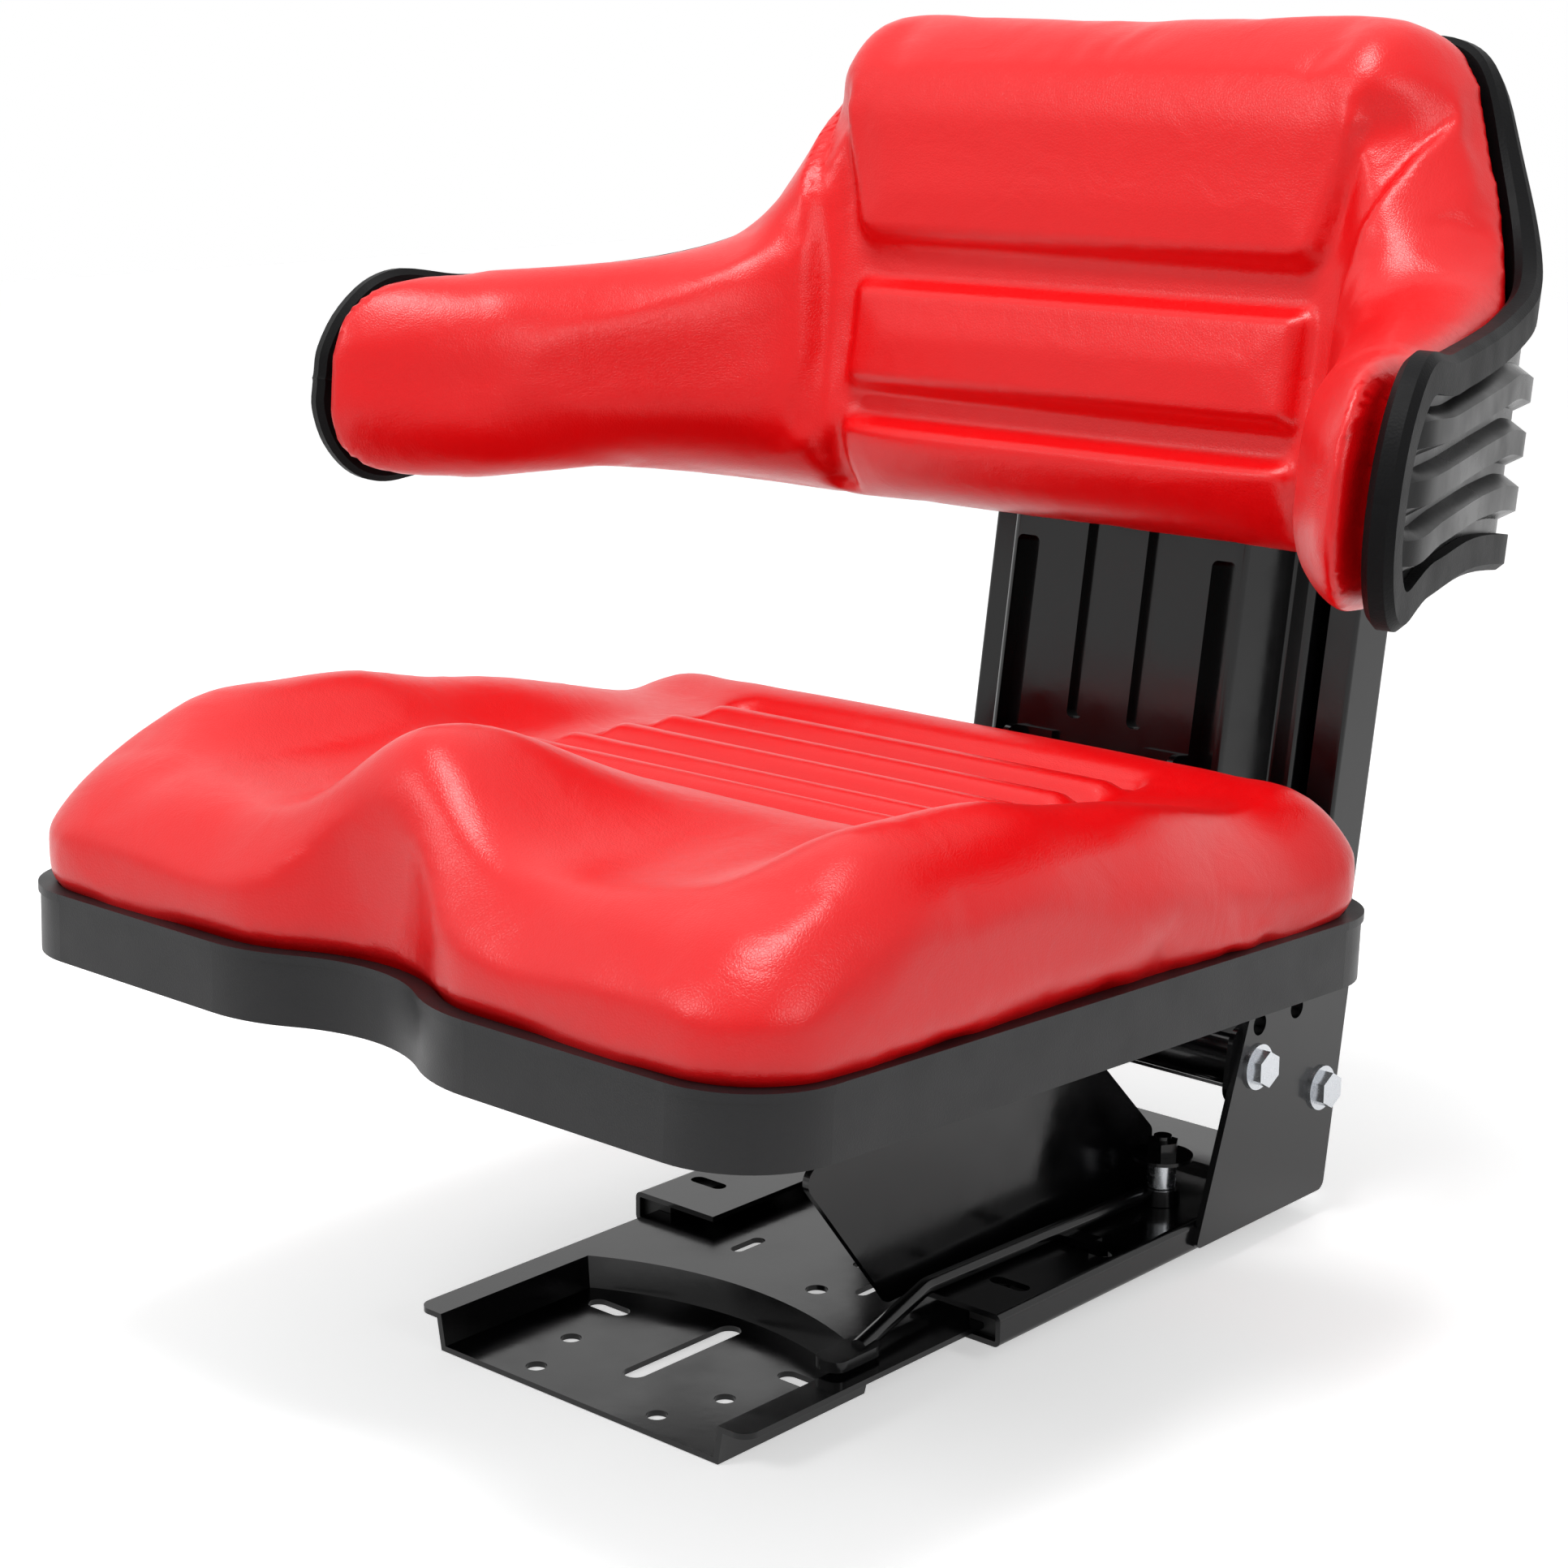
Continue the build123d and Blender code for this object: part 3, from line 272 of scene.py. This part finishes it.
def skinned_copy(node, name, voxel, rounds, shrink):
    """Copy of a soft solid with an even skin of small quads, drawn in a little."""
    piece = bpy.data.objects.new(name, nodes[node].data.copy())
    piece.data.materials.clear()
    bpy.context.collection.objects.link(piece)
    select_only(piece)
    bpy.ops.object.mode_set(mode="EDIT")
    bpy.ops.mesh.select_all(action="SELECT")
    bpy.ops.mesh.remove_doubles(threshold=1e-5)
    bpy.ops.object.mode_set(mode="OBJECT")
    skin = piece.modifiers.new("skin", "REMESH")
    skin.mode = "VOXEL"
    skin.voxel_size = voxel
    smooth(piece, "settle", 0.5, rounds)
    draw_in = piece.modifiers.new("draw_in", "DISPLACE")
    draw_in.mid_level = 0.0
    draw_in.strength = -shrink
    apply_all(piece)
    return piece


def blow_up(piece):
    """Blow the cover up over its foam, stop each point after a short way, and iron out small rumples."""
    start = points_of(piece)
    select_only(piece)
    cover = piece.modifiers.new("cover", "CLOTH")
    cover.settings.quality = 4
    cover.settings.mass = 0.3
    cover.settings.tension_stiffness = 20
    cover.settings.compression_stiffness = 20
    cover.settings.bending_stiffness = 2
    cover.settings.use_pressure = True
    cover.settings.uniform_pressure_force = COVER_PRESSURE
    cover.settings.effector_weights.gravity = 0.0
    scene = bpy.context.scene
    for number in range(1, COVER_FRAMES + 1):
        scene.frame_set(number)
    bpy.ops.object.modifier_apply(modifier="cover")
    scene.frame_set(1)
    move = points_of(piece) - start
    far = np.linalg.norm(move, axis=1, keepdims=True)
    set_points(piece, start + move * np.minimum(1.0, COVER_SWELL / np.maximum(far, 1e-9)))
    smooth(piece, "iron", 0.5, 4)
    apply_all(piece)


def make_seat_cushion():
    """Seat cushion: foam under a stretched cover, with its sewn flutes."""
    piece = skinned_copy("seat_cushion", "seat_cushion_cover", voxel=0.0042, rounds=8, shrink=0.0015)
    blow_up(piece)
    co = points_of(piece)
    x, y = co[:, 0], co[:, 1]
    facing_up = ease((normals_of(piece)[:, 2] - 0.3) / 0.4)
    # Bars between the flutes swell, and each flute is drawn in by its seam
    lane = np.mod(y - FLUTE_FRONT + FLUTE_PITCH / 2, FLUTE_PITCH) - FLUTE_PITCH / 2
    field = (ease((FLUTE_HALF + 0.004 - np.abs(x)) / 0.012) * ease((y - FLUTE_FRONT + 0.012) / 0.008)
             * ease((FLUTE_REAR + 0.012 - y) / 0.008))
    rise = FLUTE_SWELL * np.sin(np.abs(lane) / FLUTE_PITCH * pi) - SEAM_DEPTH * np.exp(-(lane / SEAM_WIDTH) ** 2)
    co[:, 2] += rise * field * facing_up
    set_points(piece, co)
    return piece


def inside_corner(one, other, radius):
    """Depth inside a corner of two edges, rounded by a radius."""
    bend = radius - np.hypot(np.maximum(radius - one, 0.0), np.maximum(radius - other, 0.0))
    return np.where((one < radius) & (other < radius), bend, np.minimum(one, other))


def panel_relief(a, z):
    """Depth inside the nearest raised field of the backrest: three panels and the two wings."""
    lower = inside_corner(PANEL_HALF - a, LOWER_TOP - z, PANEL_CORNER)
    middle = np.minimum(inside_corner(PANEL_HALF - a, MIDDLE_TOP - z, PANEL_CORNER),
                        inside_corner(PANEL_FOOT_HALF - a, z - MIDDLE_BOTTOM, PANEL_CORNER))
    upper = inside_corner(np.interp(z, *UPPER_SIDE) - a, z - UPPER_BOTTOM, UPPER_CORNER)
    wing = a - np.interp(z, *WING_EDGE)
    return np.maximum.reduce([lower, middle, upper, wing])


def tip_overhang(co, behind):
    """Swell of each arm's tip, which hides most of the trim from the front."""
    x = co[:, 0]
    root_x = SHELL_STRAIGHT + SHELL_BEND * sin(ARM_TURN)
    root_back = SHELL_FACE - SHELL_BEND * (1 - cos(ARM_TURN))
    reach = (np.abs(x) - root_x) * cos(ARM_TURN) - (behind - root_back) * sin(ARM_TURN)
    depth = (root_x - np.abs(x)) * sin(ARM_TURN) + (root_back - behind) * cos(ARM_TURN)
    share = ease((reach - ARM_LENGTH + 0.075) / 0.06) * ease((depth - 0.009) / 0.010)
    forward = -sin(ARM_TURN) * TIP_REACH * share
    up = (co[:, 2] - ARM_MIDDLE) * TIP_GROWTH * share
    move = np.zeros_like(co)
    move[:, 0] = np.sign(x) * cos(ARM_TURN) * TIP_REACH * share
    move[:, 1] = forward * cos(RECLINE)
    move[:, 2] = up - forward * sin(RECLINE)
    return move


def make_backrest_cover():
    """Backrest pad: three raised panels between grooves, and the wings that run into the arms."""
    piece = skinned_copy("backrest_pad", "backrest_cover", voxel=0.0040, rounds=16, shrink=0.0008)
    blow_up(piece)
    co = points_of(piece)
    a, z = np.abs(co[:, 0]), co[:, 2]
    behind = (co[:, 1] - BACK_FOOT) * cos(RECLINE) - z * sin(RECLINE)
    facing = (ease((-normals_of(piece)[:, 1] - 0.2) / 0.4) * ease((z - 0.394) / 0.012)
              * (1 - ease((z - 0.610) / 0.03)))
    relief = panel_relief(a, z)
    wanted = (PANEL_DEPTH * (1 - ease((relief + 0.001) / 0.009))
              - PANEL_SWELL * ease((relief - 0.004) / 0.03) * (a < 0.17))
    # The solid already has the two level grooves, so only what they lack is pressed in
    level = np.min([np.abs(z - height) for height in GROOVE_HEIGHTS], axis=0) < GROOVE_HALF
    pressed = np.clip(behind - PAD_FACE, 0.0, GROOVE_DEPTH)
    grooved = (a < PANEL_FOOT_HALF) & level
    depth = np.where(grooved, np.maximum(wanted - pressed, 0.0), wanted) * facing
    co[:, 1] += depth * cos(RECLINE)
    co[:, 2] -= depth * sin(RECLINE)
    co += tip_overhang(co, behind)
    set_points(piece, co)
    smooth(piece, "settle", 0.4, 2)
    apply_all(piece)
    return piece


def make_spring(side, name):
    """Coil spring between the carrier's tab and the bar across the frame."""
    bpy.ops.object.select_all(action="DESELECT")
    bpy.ops.mesh.primitive_circle_add(vertices=10, radius=WIRE_RADIUS, rotation=(pi / 2, 0, 0),
                                      location=(SPRING_RADIUS, 0, 0))
    piece = bpy.context.object
    piece.name = name
    bpy.ops.object.transform_apply(location=True, rotation=True, scale=True)
    coil = piece.modifiers.new("coil", "SCREW")
    coil.axis = "Z"
    coil.iterations = SPRING_TURNS
    coil.screw_offset = SPRING_LENGTH / SPRING_TURNS
    coil.steps = 24
    coil.render_steps = 24
    apply_all(piece)
    # The two ends of the wire are closed
    bpy.ops.object.mode_set(mode="EDIT")
    bpy.ops.mesh.select_all(action="SELECT")
    bpy.ops.mesh.remove_doubles(threshold=1e-6)
    bpy.ops.mesh.select_all(action="DESELECT")
    bpy.ops.mesh.select_non_manifold()
    bpy.ops.mesh.edge_face_add()
    bpy.ops.mesh.select_all(action="SELECT")
    bpy.ops.mesh.normals_make_consistent(inside=False)
    bpy.ops.object.mode_set(mode="OBJECT")
    recline = Matrix.Translation((0, BACK_FOOT, 0)) @ Matrix.Rotation(-RECLINE, 4, "X")
    piece.data.transform(recline @ Matrix.Translation((side * SPRING_SIDE, SPRING_BACK, SPRING_LOW)))
    bpy.ops.object.shade_smooth()
    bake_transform(piece)
    return piece


def dress(piece, finish):
    """Give a new piece its finish."""
    piece.data.materials.clear()
    piece.data.materials.append(finish)


vinyl = red_vinyl()
enamel = black_enamel("black_enamel", "#050506", 0.10, 0.24, 0.42)
satin = black_enamel("satin_enamel", "#060607", 0.22, 0.38, 0.14)
trim_pvc = moulding("grained_trim_pvc", "#070708", 0.0014, 0.0003, 0.5, 0.1)
band_pvc = moulding("band_pvc", "#0C0C0E", 0.0008, 0.00015, 0.42)
rubber = moulding("stop_rubber", "#101010", 0.001, 0.0001, 0.7)
zinc = bare_metal("bright_zinc", "#C9CCD0", 0.18, 0.34)
spring_steel = bare_metal("oiled_spring_steel", "#5A5B5E", 0.3, 0.45)
chrome = bare_metal("ground_chrome", "#D5D6D8", 0.06, 0.14)
nylon = moulding("natural_nylon", "#D9D5C8", 0.002, 0.0001, 0.45)
black_nylon = moulding("black_nylon", "#121212", 0.002, 0.0001, 0.45)
finishes = {
    "steel_black": enamel, "shell_black": satin, "damper_steel": satin,
    "zinc": zinc, "spring_steel": spring_steel, "rod_chrome": chrome,
    "roller_plastic": nylon, "glide_plastic": black_nylon, "stop_rubber": rubber,
    "band_plastic": band_pvc, "trim_plastic": trim_pvc, "cover_red": vinyl,
}
for part in frame["record"]["subparts"]:
    mesh = nodes[part["node"]].data
    mesh.materials.clear()
    mesh.materials.append(finishes[part["material_slot"]])

for node, builder in (("seat_cushion", make_seat_cushion), ("backrest_pad", make_backrest_cover)):
    cover = builder()
    select_only(cover)
    bpy.ops.object.shade_smooth()
    dress(cover, vinyl)
    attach(cover, "carrier")
    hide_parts(node)

for side, node in ((1, "spring_left"), (-1, "spring_right")):
    coil = make_spring(side, node + "_coil")
    dress(coil, spring_steel)
    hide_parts(node)


def backdrop_seen(tree):
    """1 for the rays that look at the backdrop: the camera's, mirrors' and glass's."""
    path = put(tree, "ShaderNodeLightPath")
    through = put(tree, "ShaderNodeMath", {0: path.outputs["Is Glossy Ray"],
                                           1: path.outputs["Is Transmission Ray"]}, operation="MAXIMUM")
    seen = put(tree, "ShaderNodeMath", {0: path.outputs["Is Camera Ray"], 1: through.outputs["Value"]},
               operation="MAXIMUM")
    return seen.outputs["Value"]


def make_floor():
    """Pale floor that takes the seat's shadow and meets the white backdrop without a line."""
    bpy.ops.object.select_all(action="DESELECT")
    bpy.ops.mesh.primitive_plane_add(size=12.0, location=(0, 0, -0.0005))
    floor = bpy.context.object
    floor.name = "floor"
    finish, tree, _ = new_finish("pale_floor")
    shader = put(tree, "ShaderNodeBsdfPrincipled", {"Base Color": hex_linear("#F7F7F7"), "Roughness": 0.7,
                                                    "Specular IOR Level": 0.2})
    lift = put(tree, "ShaderNodeMapRange", {"Value": backdrop_seen(tree), "To Max": 0.5})
    glow = put(tree, "ShaderNodeEmission", {"Strength": lift.outputs["Result"]})
    lit = put(tree, "ShaderNodeAddShader", {0: shader.outputs["BSDF"], 1: glow.outputs["Emission"]})
    close_finish(tree, lit.outputs["Shader"])
    floor.data.materials.append(finish)


def make_light(name, place, target, size, power):
    """Soft box that points at a target."""
    bpy.ops.object.light_add(type="AREA", location=place)
    lamp = bpy.context.object
    lamp.name = name
    lamp.data.shape = "RECTANGLE"
    lamp.data.size, lamp.data.size_y = size
    lamp.data.energy = power
    way = Vector(target) - Vector(place)
    lamp.rotation_euler = way.to_track_quat("-Z", "Y").to_euler()


def make_studio():
    """White surround for the eye and mirrors, dimmer as a lamp, with three soft boxes and a wide sky."""
    world = bpy.data.worlds.new("studio")
    bpy.context.scene.world = world
    world.use_nodes = True
    tree = world.node_tree
    tree.nodes.clear()
    strength = put(tree, "ShaderNodeMapRange", {"Value": backdrop_seen(tree), "To Min": 0.26, "To Max": 1.0})
    back = put(tree, "ShaderNodeBackground", {"Color": (1.0, 1.0, 1.0, 1.0),
                                              "Strength": strength.outputs["Result"]})
    put(tree, "ShaderNodeOutputWorld", {"Surface": back.outputs["Background"]})
    make_light("key", place=(-0.9, -2.2, 2.0), target=(0, 0, 0.35), size=(0.9, 0.7), power=14)
    make_light("overhead", place=(0.2, -0.5, 2.3), target=(0, -0.1, 0.35), size=(0.9, 0.7), power=26)
    make_light("side", place=(2.4, -0.4, 1.6), target=(0, 0, 0.35), size=(0.7, 1.2), power=12)
    bpy.ops.object.light_add(type="SUN", location=(0, 0, 3), rotation=(radians(18), radians(-14), 0))
    sky = bpy.context.object
    sky.name = "wide_sky"
    sky.data.energy = 0.75
    sky.data.angle = radians(110)


def make_camera():
    """Camera at the photograph's place, with its lens."""
    bpy.ops.object.camera_add(location=CAMERA_PLACE)
    camera = bpy.context.object
    camera.name = "camera"
    turn = Matrix.Rotation(CAMERA_TURN, 4, "Z") @ Matrix.Rotation(pi / 2 - CAMERA_TILT, 4, "X")
    turn = turn @ Matrix.Rotation(CAMERA_ROLL, 4, "Z")
    camera.rotation_euler = turn.to_euler()
    camera.data.sensor_width = 36.0
    camera.data.lens = CAMERA_LENS
    camera.data.clip_end = 50.0
    bpy.context.scene.camera = camera


make_floor()
make_studio()
make_camera()
bpy.context.scene.view_settings.view_transform = "Standard"
